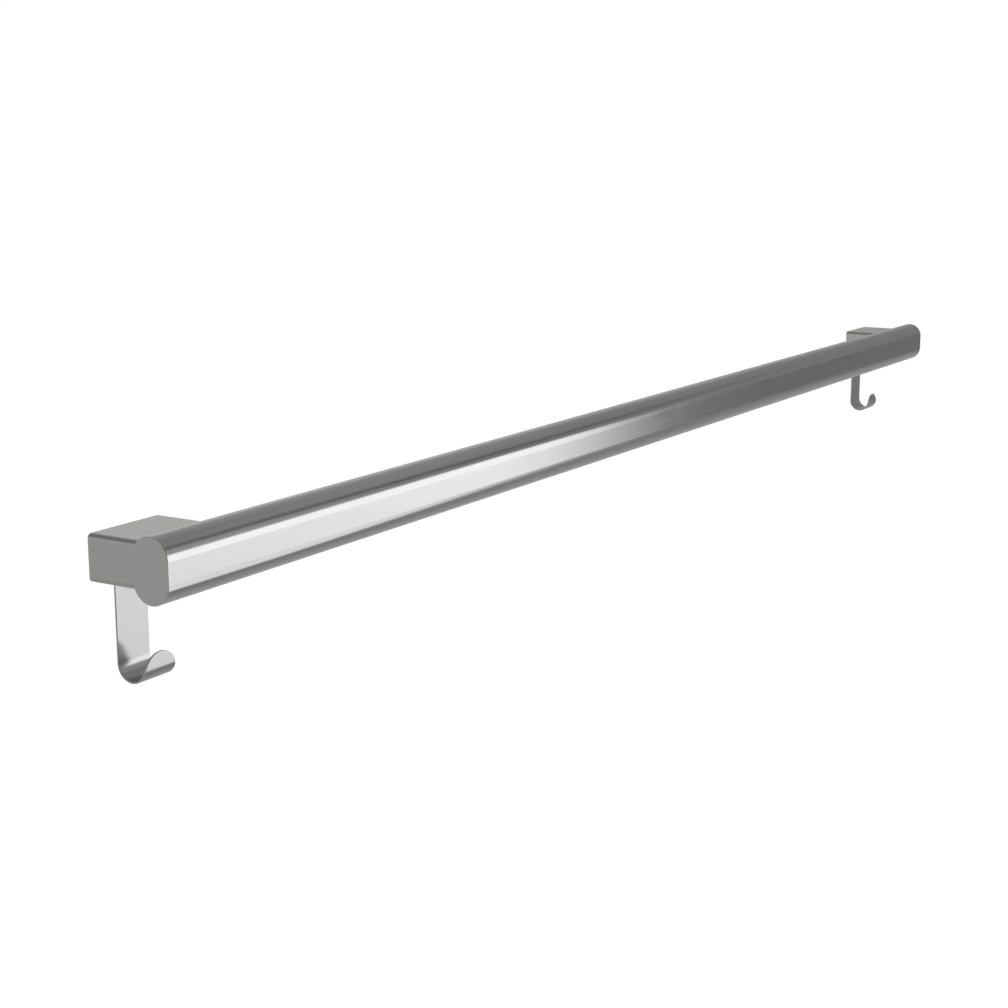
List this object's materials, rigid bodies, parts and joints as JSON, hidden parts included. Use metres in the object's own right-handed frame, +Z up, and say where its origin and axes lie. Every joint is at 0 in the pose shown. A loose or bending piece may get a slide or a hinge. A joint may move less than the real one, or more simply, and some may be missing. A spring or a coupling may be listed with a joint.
{
  "type": "wall rail with hooks",
  "caption": "Wall-mounted flat-oval metal rail on hollow block brackets, with a J-shaped garment hook hanging below each bracket.",
  "frame": {"origin": "in the wall plane, midway between the brackets and at the rail's mid-height: the centre of the wall holes", "axes": "+X along the rail, from its left end to its right end as seen from the room; +Y into the wall; +Z up"},
  "size_m": [1.224, 0.0622, 0.0932],
  "materials": {
    "rail_steel": "satin polished along the rail",
    "cap_steel": "fine satin",
    "bracket_steel": "fine satin",
    "hook_steel": "satin polished along the strip",
    "plate_steel": "zinc plated",
    "fastener_steel": "bright zinc plated"
  },
  "bodies": {
    "root": {"rail_tube": "rail_steel", "end_cap_left": "cap_steel", "end_cap_right": "cap_steel", "bracket_left": "bracket_steel", "bracket_right": "bracket_steel", "hook_left": "hook_steel", "hook_right": "hook_steel", "wall_plate_left": "plate_steel", "wall_plate_right": "plate_steel", "nut_plate_left": "plate_steel", "nut_plate_right": "plate_steel", "rail_screws": "fastener_steel", "rail_washers": "fastener_steel", "grub_screws": "fastener_steel", "hook_rivets": "fastener_steel"}
  },
  "joints": []
}
